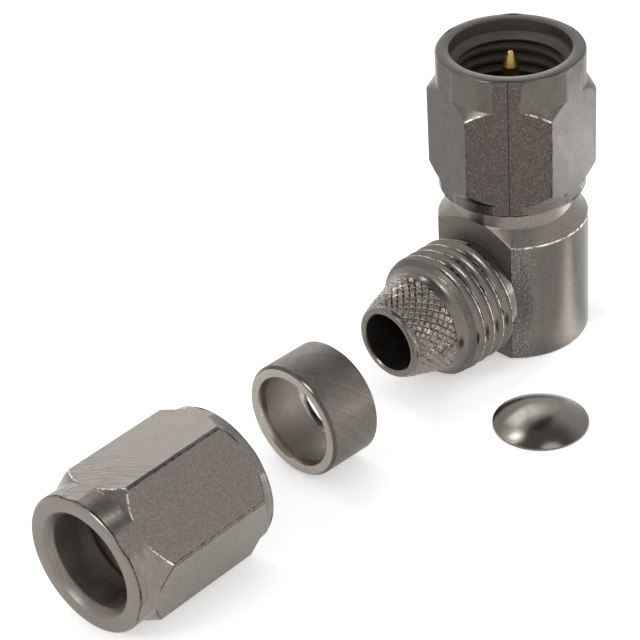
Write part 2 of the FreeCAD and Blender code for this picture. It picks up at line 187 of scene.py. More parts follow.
def soften(piece, width, slot=-1):
    """Break the sharp edges, so that they catch the light, with a finish of their own if asked."""
    take(piece)
    modifier = piece.modifiers.new("edges", "BEVEL")
    modifier.material = slot
    modifier.width = width
    modifier.segments = 2
    modifier.limit_method = "ANGLE"
    modifier.angle_limit = math.radians(28)
    modifier.use_clamp_overlap = False
    bpy.ops.object.modifier_apply(modifier=modifier.name)


def smooth(piece, angle=32):
    """Shade a piece smooth, but keep the edges sharp that turn by more than an angle in degrees."""
    take(piece)
    bpy.ops.object.shade_smooth_by_angle(angle=math.radians(angle))
    modifier = piece.modifiers.new("even", "WEIGHTED_NORMAL")
    modifier.keep_sharp = True
    modifier.weight = 60
    bpy.ops.object.modifier_apply(modifier=modifier.name)


def thread_ridge(profile, pitch, start, turns, limit):
    """One helical ridge: a profile of radii and heights screwed along Z from a start.

    The limit gives, for a height, the radius that the ridge may reach there. It lets the ends sink
    into the piece that carries the ridge.
    """
    bare()
    bpy.ops.mesh.primitive_circle_add(vertices=len(profile), radius=1, fill_type="NGON")
    ridge = bpy.context.object
    for vertex, (radius, height) in zip(ridge.data.vertices, profile):
        vertex.co = (radius, 0, start + height)
    modifier = ridge.modifiers.new("helix", "SCREW")
    modifier.axis = "Z"
    modifier.angle = math.tau
    modifier.screw_offset = pitch
    modifier.iterations = turns
    modifier.steps = THREAD_STEPS
    modifier.render_steps = THREAD_STEPS
    bpy.ops.object.modifier_apply(modifier=modifier.name)
    edit(ridge)
    bpy.ops.mesh.remove_doubles(threshold=1e-5)
    bpy.ops.mesh.select_all(action="DESELECT")
    bpy.ops.mesh.select_non_manifold()
    bpy.ops.mesh.fill_holes(sides=len(profile) + 2)
    bpy.ops.mesh.select_all(action="SELECT")
    bpy.ops.mesh.normals_make_consistent(inside=False)
    done()
    radii = [radius for radius, height in profile]
    outward = max(radii) - radii[0] > radii[0] - min(radii)
    for vertex in ridge.data.vertices:
        radius = math.hypot(vertex.co.x, vertex.co.y)
        allowed = limit(vertex.co.z)
        wanted = min(radius, allowed) if outward else max(radius, allowed)
        vertex.co.x *= wanted / radius
        vertex.co.y *= wanted / radius
    take(ridge)
    bpy.ops.object.shade_smooth_by_angle(angle=math.radians(35))
    return ridge


def join(piece, *others):
    """Others become part of a piece."""
    take(piece)
    for other in others:
        other.select_set(True)
    bpy.ops.object.join()
    return piece


def seat(piece, place):
    """Move a piece from its own millimetres into the frame's metres."""
    piece.matrix_world = place @ Matrix.Scale(MM, 4)
    take(piece)
    bpy.ops.object.transform_apply(location=True, rotation=True, scale=True)


def move(x, y, z):
    """A shift given in millimetres."""
    return Matrix.Translation(Vector((x, y, z)) * MM)


def turn(axis, degrees):
    return Matrix.Rotation(math.radians(degrees), 4, axis)


# Where the pieces stand and lie: each one's own Z is its axis, and its heights count from its foot

RING_RADIUS = 3.2
STACK = move(0, 0, -REFERENCE_HEIGHT)
PORT = move(0, 0, PORT_HEIGHT - REFERENCE_HEIGHT) @ turn("Y", -90)
RING = move(-18.5, -0.94, RING_RADIUS - REFERENCE_HEIGHT) @ turn("Y", 90)
CAP = move(-6.75, -7.87, -REFERENCE_HEIGHT)

NUT_TURN = 9.5  # where one corner of the coupling nut points, in degrees from +X
FRONT_FLAT = -140.5  # where its front flat faces

CLAMP_ACROSS, CLAMP_CORNER, CLAMP_ROLL = 7.5, 4.29, 49
CLAMP_SUPPORT = CLAMP_CORNER * math.cos(
    math.acos(CLAMP_ACROSS / 2 / CLAMP_CORNER) + math.radians(CLAMP_ROLL - 60))
LONG_NUT = (move(-34.12, -2.8, CLAMP_SUPPORT - REFERENCE_HEIGHT)
            @ turn("Z", 3.4) @ turn("Y", 90))


# Finishes

def node(tree, kind, **settings):
    made = tree.nodes.new(kind)
    for name, value in settings.items():
        setattr(made, name, value)
    return made


def place_of(tree, place=Matrix.Identity(4)):
    """The spot on a piece, seen from the piece's own axis: height along Z, in metres."""
    spot = node(tree, "ShaderNodeTexCoord")
    mapping = node(tree, "ShaderNodeMapping")
    back = place.inverted()
    mapping.inputs["Location"].default_value = back.translation
    mapping.inputs["Rotation"].default_value = back.to_euler()
    tree.links.new(spot.outputs["Object"], mapping.inputs["Vector"])
    return mapping.outputs["Vector"]


def maths(tree, operation, first, second):
    """Arithmetic on two values, each a socket or a number."""
    made = node(tree, "ShaderNodeMath", operation=operation)
    for socket, value in zip(made.inputs, (first, second)):
        if isinstance(value, (int, float)):
            socket.default_value = value
        else:
            tree.links.new(value, socket)
    return made.outputs[0]


def parts_of(tree, place):
    """The X, Y and Z of a place, each a socket."""
    made = node(tree, "ShaderNodeSeparateXYZ")
    tree.links.new(place, made.inputs[0])
    return made.outputs


def noise(tree, place, grain, detail=3.0, roughness=0.6, distortion=0.0):
    """Cloudy noise with a grain size in millimetres."""
    made = node(tree, "ShaderNodeTexNoise")
    made.inputs["Distortion"].default_value = distortion
    made.inputs["Scale"].default_value = 1 / (grain * MM)
    made.inputs["Detail"].default_value = detail
    made.inputs["Roughness"].default_value = roughness
    tree.links.new(place, made.inputs["Vector"])
    return made.outputs["Fac"]


def lathe_marks(tree, place, pitch):
    """Rings that a lathe tool leaves: noise that changes along and off the axis, not round it."""
    parts = parts_of(tree, place)
    across = node(tree, "ShaderNodeCombineXYZ")
    tree.links.new(parts["X"], across.inputs["X"])
    tree.links.new(parts["Y"], across.inputs["Y"])
    radius = node(tree, "ShaderNodeVectorMath", operation="LENGTH")
    tree.links.new(across.outputs[0], radius.inputs[0])
    profile = node(tree, "ShaderNodeCombineXYZ")
    tree.links.new(radius.outputs["Value"], profile.inputs["X"])
    tree.links.new(parts["Z"], profile.inputs["Y"])
    return noise(tree, profile.outputs[0], pitch, 2.0)


def unrolled(tree, place, radius):
    """A turned surface laid flat: the way round it from below, and the height, in metres."""
    parts = parts_of(tree, place)
    below = maths(tree, "MULTIPLY", parts["X"], -1.0)
    angle = maths(tree, "ARCTAN2", parts["Y"], below)
    flat = node(tree, "ShaderNodeCombineXYZ")
    tree.links.new(maths(tree, "MULTIPLY", angle, radius * MM), flat.inputs["X"])
    tree.links.new(parts["Z"], flat.inputs["Y"])
    return flat.outputs[0]


def streaks(tree, flat, slant, width, length):
    """Brush strokes on a flat place, leaning by an angle in degrees, a little wavy."""
    mapping = node(tree, "ShaderNodeMapping", vector_type="TEXTURE")
    mapping.inputs["Rotation"].default_value = (0, 0, math.radians(slant))
    mapping.inputs["Scale"].default_value = (width, length, 1)
    tree.links.new(flat, mapping.inputs["Vector"])
    return noise(tree, mapping.outputs["Vector"], 1.0, 2.0, distortion=0.7)


def spread(tree, value, low, high, start=0.3, end=0.7):
    """A value taken from one range to another."""
    made = node(tree, "ShaderNodeMapRange", clamp=True)
    made.inputs["From Min"].default_value = start
    made.inputs["From Max"].default_value = end
    made.inputs["To Min"].default_value = low
    made.inputs["To Max"].default_value = high
    tree.links.new(value, made.inputs["Value"])
    return made.outputs["Result"]


def blend(tree, share, first, second):
    """Two colours mixed by a share."""
    made = node(tree, "ShaderNodeMix", data_type="RGBA")
    for name, colour in (("A", first), ("B", second)):
        sockets = [s for s in made.inputs if s.name == name and s.type == "RGBA"]
        if isinstance(colour, tuple):
            sockets[0].default_value = (*colour, 1)
        else:
            tree.links.new(colour, sockets[0])
    tree.links.new(share, made.inputs["Factor"])
    return [s for s in made.outputs if s.type == "RGBA"][0]


def relief(tree, height, depth, under=None):
    """Bumps of a depth in millimetres."""
    made = node(tree, "ShaderNodeBump")
    made.inputs["Distance"].default_value = depth * MM
    tree.links.new(height, made.inputs["Height"])
    if under is not None:
        tree.links.new(under, made.inputs["Normal"])
    return made.outputs["Normal"]


def finish_of(name, metallic=False):
    """A new material, with its nodes and its shader."""
    material = bpy.data.materials.new(name)
    material.use_nodes = True
    tree = material.node_tree
    shader = tree.nodes["Principled BSDF"]
    if metallic:
        shader.inputs["Metallic"].default_value = 1.0
    return material, tree, shader


def times(colour, factor):
    """A colour made lighter or darker."""
    return tuple(c * factor for c in colour)


def glitter(tree, spot, size, share, colour, glint):
    """Painted glints: small bright specks, scattered thinly over a colour."""
    speck = noise(tree, spot, size, 1.0, 0.5)
    return blend(tree, spread(tree, speck, 0.0, share, 0.64, 0.72), colour, glint)


def turned_metal(name, place, light, dark, roughness, marks=0.06, depth=0.004, grain_depth=0.004,
                 glint=None, brushed=None, grainy=None):
    """Plated metal off the lathe: faint rings round the axis, clouds of tone and a fine grain.

    brushed: slant of the strokes in degrees, their width and length in millimetres, and how strong.
    grainy: from where to where along X, in millimetres, painted glints and roughness thin out.
    """
    material, tree, shader = finish_of(name, metallic=True)
    spot = place_of(tree, place)
    rings = lathe_marks(tree, spot, marks)
    cloud = noise(tree, spot, 1.3, 3.0)
    grain = noise(tree, spot, 0.13, 4.0, 0.7)
    tone = maths(tree, "ADD", spread(tree, cloud, 0.0, 0.35), spread(tree, rings, 0.0, 0.25))
    tone = maths(tree, "ADD", tone, spread(tree, grain, 0.0, 0.4, 0.38, 0.62))
    bumps = relief(tree, grain, grain_depth)
    if brushed:
        *stroke, strength = brushed
        strokes = streaks(tree, unrolled(tree, spot, 3.5), *stroke)
        tone = maths(tree, "MULTIPLY", tone,
                     spread(tree, strokes, 1 - strength, 1 + strength, 0.36, 0.64))
        bumps = relief(tree, strokes, 0.006 * strength, under=bumps)
    colour = blend(tree, tone, dark, light)
    if glint:
        colour = glitter(tree, spot, 0.08, 0.6, colour, glint)
    rough = spread(tree, cloud, *roughness)
    if grainy:
        start, end = grainy
        # Painted glints towards one end, where the metal is also rougher.
        near = spread(tree, parts_of(tree, spot)["X"], 1.0, 0.0, start * MM, end * MM)
        speck = noise(tree, spot, 0.09, 2.0, 0.6)
        share = maths(tree, "MULTIPLY", spread(tree, speck, 0.0, 0.7, 0.47, 0.64), near)
        colour = blend(tree, share, colour, GLINT)
        rough = maths(tree, "ADD", rough, maths(tree, "MULTIPLY", near, 0.2))
    tree.links.new(colour, shader.inputs["Base Color"])
    tree.links.new(rough, shader.inputs["Roughness"])
    tree.links.new(relief(tree, rings, depth, under=bumps), shader.inputs["Normal"])
    return material


def milled_metal(name, place, light, dark, roughness, depth=0.012, line=None, glint=None,
                 brushed=None):
    """Plated metal off the mill: pitted and speckled.

    line: width in millimetres of a thin dark line along the middle, where two passes met.
    brushed: slant of the strokes in degrees, their width and length, and from where to where along
    the axis they fade, in millimetres.
    """
    material, tree, shader = finish_of(name, metallic=True)
    spot = place_of(tree, place)
    pits = noise(tree, spot, PIT_SIZE, 3.0, 0.75)
    specks = noise(tree, spot, PIT_SIZE * 4, 2.0, 0.5)
    tone = maths(tree, "MULTIPLY", spread(tree, pits, 0.0, 1.0, 0.36, 0.64),
                 spread(tree, specks, 0.55, 1.0))
    bumps = relief(tree, pits, depth)
    if brushed:
        *stroke, start, end = brushed
        strokes = streaks(tree, unrolled(tree, spot, CLAMP_ACROSS / 2), *stroke)
        near = spread(tree, parts_of(tree, spot)["Z"], 1.0, 0.12, start * MM, end * MM)
        ripple = maths(tree, "MULTIPLY", spread(tree, strokes, -0.5, 0.5), near)
        calmer = maths(tree, "ADD", maths(tree, "MULTIPLY", tone, 0.5), 0.25)
        tone = maths(tree, "ADD", calmer, ripple)
        bumps = relief(tree, ripple, 0.012, under=bumps)
    colour = blend(tree, tone, dark, light)
    if glint:
        colour = glitter(tree, spot, PIT_SIZE * 0.55, 0.5, colour, glint)
    if line:
        off = maths(tree, "ABSOLUTE", parts_of(tree, spot)["Y"], 0.0)
        wander = spread(tree, pits, 0.2 * line * MM, 1.8 * line * MM)
        inside = maths(tree, "LESS_THAN", off, wander)
        colour = blend(tree, inside, colour, times(dark, 0.45))
    tree.links.new(colour, shader.inputs["Base Color"])
    tree.links.new(spread(tree, specks, *roughness), shader.inputs["Roughness"])
    tree.links.new(bumps, shader.inputs["Normal"])
    return material


def worn_edge(name, place, light, dark):
    """Broken edge of a milled flat as a painted line of light and shade, dotted at random."""
    material, tree, shader = finish_of(name, metallic=True)
    spot = place_of(tree, place)
    dotting = noise(tree, spot, 0.3, 4.0, 0.75)
    tree.links.new(blend(tree, spread(tree, dotting, 0.0, 1.0, 0.4, 0.56), dark, light),
                   shader.inputs["Base Color"])
    shader.inputs["Roughness"].default_value = 0.35
    tree.links.new(relief(tree, dotting, 0.01), shader.inputs["Normal"])
    return material


PIT_SIZE = 0.12
TURNED_LIGHT = (0.235, 0.212, 0.187)
TURNED_DARK = (0.148, 0.134, 0.118)
MILLED_LIGHT = (0.16, 0.138, 0.122)
MILLED_DARK = (0.078, 0.067, 0.059)
# Painted shade: a dark nickel for the inside of bores and threads
SHADED_BORE_LIGHT = (0.085, 0.077, 0.065)
SHADED_BORE_DARK = (0.055, 0.049, 0.041)
CAP_LIGHT = (0.185, 0.173, 0.152)
CAP_DARK = (0.14, 0.131, 0.115)
GOLD_LIGHT = (0.56, 0.41, 0.14)
GOLD_DARK = (0.38, 0.26, 0.08)
BRONZE_LIGHT = (0.55, 0.38, 0.2)
BRONZE_DARK = (0.4, 0.27, 0.14)
# Painted shade on broken edges
SHADED_EDGE_LIGHT = (0.12, 0.108, 0.096)
SHADED_EDGE_DARK = (0.025, 0.021, 0.018)
# Painted highlight on broken edges and thread crests
HIGHLIT_EDGE_LIGHT = (0.85, 0.79, 0.72)
HIGHLIT_EDGE_DARK = (0.1, 0.09, 0.08)
# Colour of painted glints
GLINT = (0.42, 0.39, 0.36)


def turned_nickel(name, place, factor=1.0, roughness=(0.24, 0.36), **more):
    return turned_metal(name, place, times(TURNED_LIGHT, factor), times(TURNED_DARK, factor),
                        roughness, **more)


def milled_nickel(name, place, factor, roughness, **more):
    return milled_metal(name, place, times(TURNED_LIGHT, factor), times(TURNED_DARK, factor),
                        roughness, **more)


# Painted shade: a dark nickel for the inside of bores and threads, made lighter or darker by a
# factor.
def shaded_bore_finish(name, place, factor=1.0):
    return turned_metal(name, place, times(SHADED_BORE_LIGHT, factor), times(SHADED_BORE_DARK, factor),
                        (0.5, 0.65))


def plain(name, light, dark, roughness, grain, depth):
    """A moulded finish with a faint grain."""
    material, tree, shader = finish_of(name)
    place = place_of(tree)
    speckle = noise(tree, place, grain)
    share = spread(tree, speckle, 0.0, 1.0)
    tree.links.new(blend(tree, share, dark, light), shader.inputs["Base Color"])
    tree.links.new(spread(tree, speckle, *roughness), shader.inputs["Roughness"])
    tree.links.new(relief(tree, speckle, depth), shader.inputs["Normal"])
    return material


# Coupling nut
front_flat = milled_metal("front milled flat", STACK @ turn("Z", FRONT_FLAT),
                          times(MILLED_LIGHT, 0.9), times(MILLED_DARK, 0.9), (0.4, 0.55),
                          line=0.025, glint=GLINT)
# The side flats and the rim are darker copies of the nut's nickel: painted shade.
shaded_side_flats = milled_nickel("side milled flats", STACK, 0.46, (0.36, 0.46), depth=0.006)
nut_nickel = turned_nickel("coupling nut nickel", STACK, 0.65, brushed=(15, 0.2, 1.5, 0.15))
shaded_nut_rim = turned_nickel("coupling nut rim", STACK, 0.52, (0.3, 0.4))
# Painted shade inside the nut, and a lighter copy on the step in its mouth: painted light.
nut_bore = shaded_bore_finish("coupling nut bore", STACK, 1.15)
lit_nut_step = shaded_bore_finish("coupling nut step", STACK, 1.4)
# Broken edges: painted shade, and a painted highlight
shaded_edges = worn_edge("worn edges", STACK, SHADED_EDGE_LIGHT, SHADED_EDGE_DARK)
rubbed_edges = worn_edge("rubbed edges", STACK, HIGHLIT_EDGE_LIGHT, HIGHLIT_EDGE_DARK)

# Elbow body
# The milled flat and the neck are lighter copies of the body's nickel: painted light.
lit_elbow_flat = milled_nickel("elbow flat", STACK, 1.1, (0.55, 0.65), depth=0.006)
upright_nickel = turned_nickel("turned nickel", STACK, 0.61, (0.18, 0.28), grainy=(-3.1, -1.9))
lit_neck_nickel = turned_nickel("neck nickel", STACK, 1.1, (0.28, 0.4), grain_depth=0.012,
                            glint=GLINT)

# Cable bushing
port_nickel = turned_nickel("turned nickel along the port", PORT, 0.88, (0.16, 0.28),
                            grain_depth=0.008)
# A darker copy on the thread's lead-in, painted shade, and rougher.
shaded_port_lead = turned_nickel("thread lead-in", PORT, 0.62, (0.38, 0.5), marks=0.2,
                          grain_depth=0.008)
port_bore = shaded_bore_finish("cable bore", PORT)
# Painted highlight on the thread's crest
thread_crest_highlight = worn_edge("thread crest", PORT, times(HIGHLIT_EDGE_LIGHT, 0.6),
                         times(HIGHLIT_EDGE_DARK, 0.8))
knurled_nickel = turned_nickel("knurled nickel", PORT, 1.2, (0.16, 0.26), depth=0.0,
                               grain_depth=0.015, glint=(0.7, 0.66, 0.6))

# Clamp ring
ring_nickel = turned_nickel("clamp ring nickel", RING, 0.8, (0.4, 0.5),
                            brushed=(50, 0.15, 4.0, 0.45))
# The bevel is a darker copy of the ring's nickel, painted shade; the lead-in, face and bore are
# lighter copies, painted light.
shaded_ring_bevel = turned_nickel("clamp ring bevel", RING, 0.5, (0.12, 0.2), grain_depth=0.001)
lit_ring_lead = turned_nickel("clamp ring lead-in", RING, 2.4, (0.2, 0.3), grain_depth=0.002)
lit_ring_face = turned_nickel("clamp ring face", RING, 2.0, (0.4, 0.5), glint=GLINT)
lit_ring_bore = turned_nickel("clamp ring bore", RING, 1.5, (0.5, 0.62))

# Clamp nut
clamp_nickel = turned_nickel("clamp nut nickel", LONG_NUT, 1.1, (0.2, 0.32),
                             brushed=(90, 0.08, 1.5, 0.45))
clamp_face = turned_nickel("clamp nut face", LONG_NUT, 1.15, (0.35, 0.45))
clamp_bore = shaded_bore_finish("clamp nut bore", LONG_NUT, 2.8)
clamp_flats = milled_nickel("clamp nut flats", LONG_NUT, 1.0, (0.4, 0.52), depth=0.01,
                            glint=GLINT)
# The lower and upper flats are lighter copies of the flats' nickel: painted light.
lit_clamp_low_flat = milled_nickel("clamp nut lower flat", LONG_NUT, 1.35, (0.4, 0.52), depth=0.006)
lit_clamp_top_flat = milled_nickel("clamp nut upper flat", LONG_NUT, 1.1, (0.3, 0.38), depth=0.004,
                          brushed=(60, 0.14, 1.5, 2.5, 5.0))
# Broken edges of the clamp nut: painted shade, and a painted highlight
clamp_shaded_edges = worn_edge("worn clamp nut edges", LONG_NUT, SHADED_EDGE_LIGHT, SHADED_EDGE_DARK)
clamp_rubbed = worn_edge("rubbed clamp nut edges", LONG_NUT, HIGHLIT_EDGE_LIGHT, HIGHLIT_EDGE_DARK)

# Access cap
cap_nickel = turned_metal("bright nickel", CAP, CAP_LIGHT, CAP_DARK, (0.13, 0.18),
                          depth=0.0008, grain_depth=0.006)
cap_rim = turned_nickel("cap rim", CAP, 0.8, (0.25, 0.35))

# Contact and inner pieces
gold = turned_metal("gold plating", STACK, GOLD_LIGHT, GOLD_DARK, (0.2, 0.3), depth=0.001,
                    grain_depth=0.001)
spring_bronze = turned_metal("spring bronze", STACK, BRONZE_LIGHT, BRONZE_DARK, (0.3, 0.4))
white_insulator = plain("white insulator", (0.82, 0.81, 0.78), (0.74, 0.73, 0.7),
                        (0.45, 0.6), 0.2, 0.003)
red_silicone = plain("red silicone", (0.4, 0.08, 0.05), (0.32, 0.06, 0.04), (0.5, 0.65),
                     0.2, 0.004)


def finished(piece, **finishes):
    """Put finishes on a piece; returns the number of each one's slot under its name."""
    for material in finishes.values():
        piece.data.materials.append(material)
    return {name: number for number, name in enumerate(finishes)}


def repaint(piece, number, test):
    """Give faces a finish where a test passes of their middle, its radius and their normal."""
    for face in piece.data.polygons:
        if test(face.center, math.hypot(face.center.x, face.center.y), face.normal):
            face.material_index = number


def dress(piece, body, nodes):
    """Tie a piece to its body and let it stand for its solids."""
    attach(piece, body)
    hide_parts(*nodes)


# Elbow body

FLAT_OFFSET = 3.22  # the milled flat, from the plug's axis
SHOULDER_TOP = 8.04  # where the neck starts


def make_elbow():
    lower, neck, clip_groove, sleeve, bore, cavity, seat_radius = (
        4.2, 3.3, 2.96, 2.3, 2.06, 2.35, 2.62)
    body = turned("elbow_housing", [
        (seat_radius, 0.0), (4.08, 0.0), (lower, 0.12), (lower, 7.29), (neck, SHOULDER_TOP),
        (neck, 9.97), (clip_groove, 9.97), (clip_groove, 10.49), (neck, 10.49), (neck, 11.0),
        (sleeve, 11.0), (sleeve, 14.55), (2.2, REFERENCE_HEIGHT), (bore, REFERENCE_HEIGHT),
        (bore, 5.5), (cavity, 5.5), (cavity, 0.9), (seat_radius, 0.9),
    ])
    milled = 4
    cut(body, slab(milled, 10, SHOULDER_TOP, (-FLAT_OFFSET - milled / 2, 0, SHOULDER_TOP / 2)))
    passage, spigot_seat = (1.9, 6.0, 0.0), (2.6, 6.0, 2.47)
    for radius, length, start in (passage, spigot_seat):
        bare()
        bpy.ops.mesh.primitive_cylinder_add(vertices=96, radius=radius, depth=length)
        drill = bpy.context.object
        drill.matrix_world = (Matrix.Translation((-start - length / 2, 0, PORT_HEIGHT))
                              @ turn("Y", 90))
        take(drill)
        bpy.ops.object.transform_apply(location=True, rotation=True, scale=True)
        cut(body, drill)
    look = finished(body, turned=upright_nickel, flat=lit_elbow_flat, neck=lit_neck_nickel,
                    rubbed=rubbed_edges, worn=shaded_edges)
    # Broken edges get a painted highlight, but painted shade where they stand upright or run along
    # the milled flat.
    soften(body, 0.05, slot=look["rubbed"])
    for face in body.data.polygons:
        if face.material_index == look["rubbed"] and (
                abs(face.normal.z) < 0.15 or face.center.x < -3.15):
            face.material_index = look["worn"]
    # Lighter copies on the milled flat and the neck: painted light.
    repaint(body, look["flat"], lambda middle, radius, normal:
            normal.x < -0.99 and abs(middle.x + FLAT_OFFSET) < 0.02)
    repaint(body, look["neck"], lambda middle, radius, normal:
            7.32 < middle.z < 10 and 2.5 < radius < 4.15)
    repaint(body, look["turned"], lambda middle, radius, normal: middle.z < 0.2)
    seat(body, STACK)
    smooth(body)
    dress(body, PLUG, ["elbow_body"])


# Coupling nut

def make_coupling_nut():
    across, corner, collar, bottom, top = 8.0, 4.6, 4.08, 9.2, 17.46
    mouth, minor, major, neck_bore, clip_groove = 3.34, 2.84, 3.175, 3.36, 3.62
    cone_feet = (9.86, 15.58)  # where the corner chamfers meet the turned ends
    nut = turned("hexagon_coupling_nut", [
        (neck_bore, bottom), (4.0, bottom), (collar, 9.28), (collar, 9.86), (corner, 10.46),
        (corner, 15.03), (collar, 15.58), (collar, 17.38), (4.0, top), (mouth, top),
        (mouth, 16.86), (3.21, 16.86), (minor, 16.5), (minor, 16.4), (major, 16.24),
        (major, 11.9), (minor, 11.75), (minor, 11.35), (neck_bore, 11.35), (neck_bore, 10.49),
        (clip_groove, 10.49), (clip_groove, 9.97), (neck_bore, 9.97),
    ], sides=NUT_SIDES)
    facing = mill_flats(nut, across, NUT_TURN)
    look = finished(nut, turned=nut_nickel, sides=shaded_side_flats, front=front_flat, worn=shaded_edges,
                    bore=nut_bore, rubbed=rubbed_edges, rim=shaded_nut_rim, step=lit_nut_step)
    soften(nut, 0.05, slot=look["worn"])
    front = heading(FRONT_FLAT)
    # Broken edges keep painted shade, except the arcs: those off the front flat and the hollow ones
    # turn plain nickel, and those before it between heights 14 and 16 get a painted highlight.
    for face in nut.data.polygons:
        middle, radius = face.center, math.hypot(face.center.x, face.center.y)
        if face.material_index == look["worn"] and abs(face.normal.z) > 0.12:
            before_front = middle.dot(front) > across / 2 - 0.06
            hollow = any(abs(middle.z - foot) < 0.06 and radius < 4.15 for foot in cone_feet)
            if hollow or not before_front:
                face.material_index = look["turned"]
            elif 14 < middle.z < 16:
                face.material_index = look["rubbed"]
    # Painted shade inside the bore, and painted light on the step in its mouth.
    repaint(nut, look["bore"], lambda middle, radius, normal: radius < 3.37)
    repaint(nut, look["step"], lambda middle, radius, normal:
            radius < 3.33 and normal.z > 0.3 and middle.z > 16)
    # The rim takes a darker copy: painted shade.
    repaint(nut, look["rim"], lambda middle, radius, normal:
            3.37 < radius < 4.01 and middle.z > top - 0.02)
    # The side flats take a darker copy than the front one: painted shade.
    for face in nut.data.polygons:
        way = flat_under(face, facing, across)
        if way is not None:
            face.material_index = look["front" if abs(way.dot(front)) > 0.99 else "sides"]
    seat(nut, STACK)
    smooth(nut)

    def inside(height):
        """The inside thread's least radius: it sinks into the lead-in cone, clear of the mouth."""
        return 3.5 if height > 16.84 else max(2.85, 2.87 + (height - 16.5) * 1.03)

    ridge = thread_ridge([(3.19, -0.34), (3.1, -0.3), (2.85, -0.08),
                          (2.85, 0.08), (3.1, 0.3), (3.19, 0.34)],
                         pitch=0.7056, start=11.6, turns=7, limit=inside)
    # The inside thread takes the bore's painted shade.
    finished(ridge, bore=nut_bore)
    seat(ridge, STACK)
    join(nut, ridge)
    dress(nut, NUT, ["coupling_nut"])


# Centre contact

def make_contact():
    pin, shank, collar, solder_end = 0.46, 0.635, 0.85, 0.8
    contact = turned("slotted_contact_pin", [
        (0.78, 2.3), (solder_end, 2.32), (solder_end, 5.2), (shank, 5.2), (shank, 8.6),
        (collar, 8.6), (collar, 9.4), (shank, 9.4), (shank, REFERENCE_HEIGHT),
        (pin, REFERENCE_HEIGHT), (pin, 16.39), (0.14, 17.17), (0.11, 17.2),
    ], sides=64, ends="capped")
    slot_width, slot_height, slot_roof = 0.96, 3, 4.04
    cut(contact, slab(4, slot_width, slot_height, (0, 0, slot_roof - slot_height / 2)))
    soften(contact, 0.02)
    finished(contact, plated=gold)
    seat(contact, STACK)
    smooth(contact, 15)
    dress(contact, PLUG, ["centre_contact"])


# Cable bushing: distances along it count from the plug's axis

KNURL_START, KNURL_END, KNURL_ROWS, KNURL_ROUND = 7.74, 10.04, 5, 34
KNURL_WEAR, KNURL_WEAR_GRAIN = 0.05, 13.7  # nudges drawn by place, the same in every run
CONE_START, CONE_BASE = 7.4, 2.9  # the cone's thick end: distance and radius
CONE_END, CONE_TIP = 10.19, 2.09  # its thin end


def cone_radius(distance):
    """Outside of the cone, by the distance from the plug's axis."""
    return CONE_BASE + (distance - CONE_START) * (CONE_TIP - CONE_BASE) / (CONE_END - CONE_START)


def knurled_sleeve():
    """A cross-cut band of the cone: its faces become diamonds, each drawn up to a blunt point."""
    step = (KNURL_END - KNURL_START) / KNURL_ROWS
    rows = [KNURL_START + step * i for i in range(KNURL_ROWS + 1)]
    outline = [(cone_radius(KNURL_START) - 0.25, KNURL_START - 0.1),
               (cone_radius(KNURL_START) - 0.06, KNURL_START - 0.1)]
    outline += [(cone_radius(d), d) for d in rows]
    outline += [(cone_radius(KNURL_END) - 0.06, KNURL_END + 0.1),
                (cone_radius(KNURL_END) - 0.25, KNURL_END + 0.1)]
    sleeve = turned("knurl", outline, sides=KNURL_ROUND)

    def on_rows(points):
        return all(KNURL_START - 0.01 < p.z < KNURL_END + 0.01 for p in points)

    def in_band(face):
        return on_rows([sleeve.data.vertices[v].co for v in face.vertices])

    before = len(sleeve.data.vertices)
    mark(sleeve, "FACE", in_band)
    bpy.ops.mesh.poke()
    done()

    def old_edge(edge):
        ends = [sleeve.data.vertices[v].co for v in edge.vertices]
        rim = any(all(abs(e.z - rows[i]) < 1e-3 for e in ends) for i in (0, -1))
        return max(edge.vertices) < before and on_rows(ends) and not rim

    mark(sleeve, "EDGE", old_edge)
    bpy.ops.mesh.dissolve_edges(use_verts=False)
    done()
    mark(sleeve, "FACE", in_band)
    bpy.ops.mesh.inset(thickness=0.075, depth=0.065, use_individual=True, use_even_offset=True)
    done()
    seed_set(4)
    for vertex in sleeve.data.vertices:
        if vertex.select:
            vertex.co += noise_vector(vertex.co * KNURL_WEAR_GRAIN) * KNURL_WEAR
    return sleeve


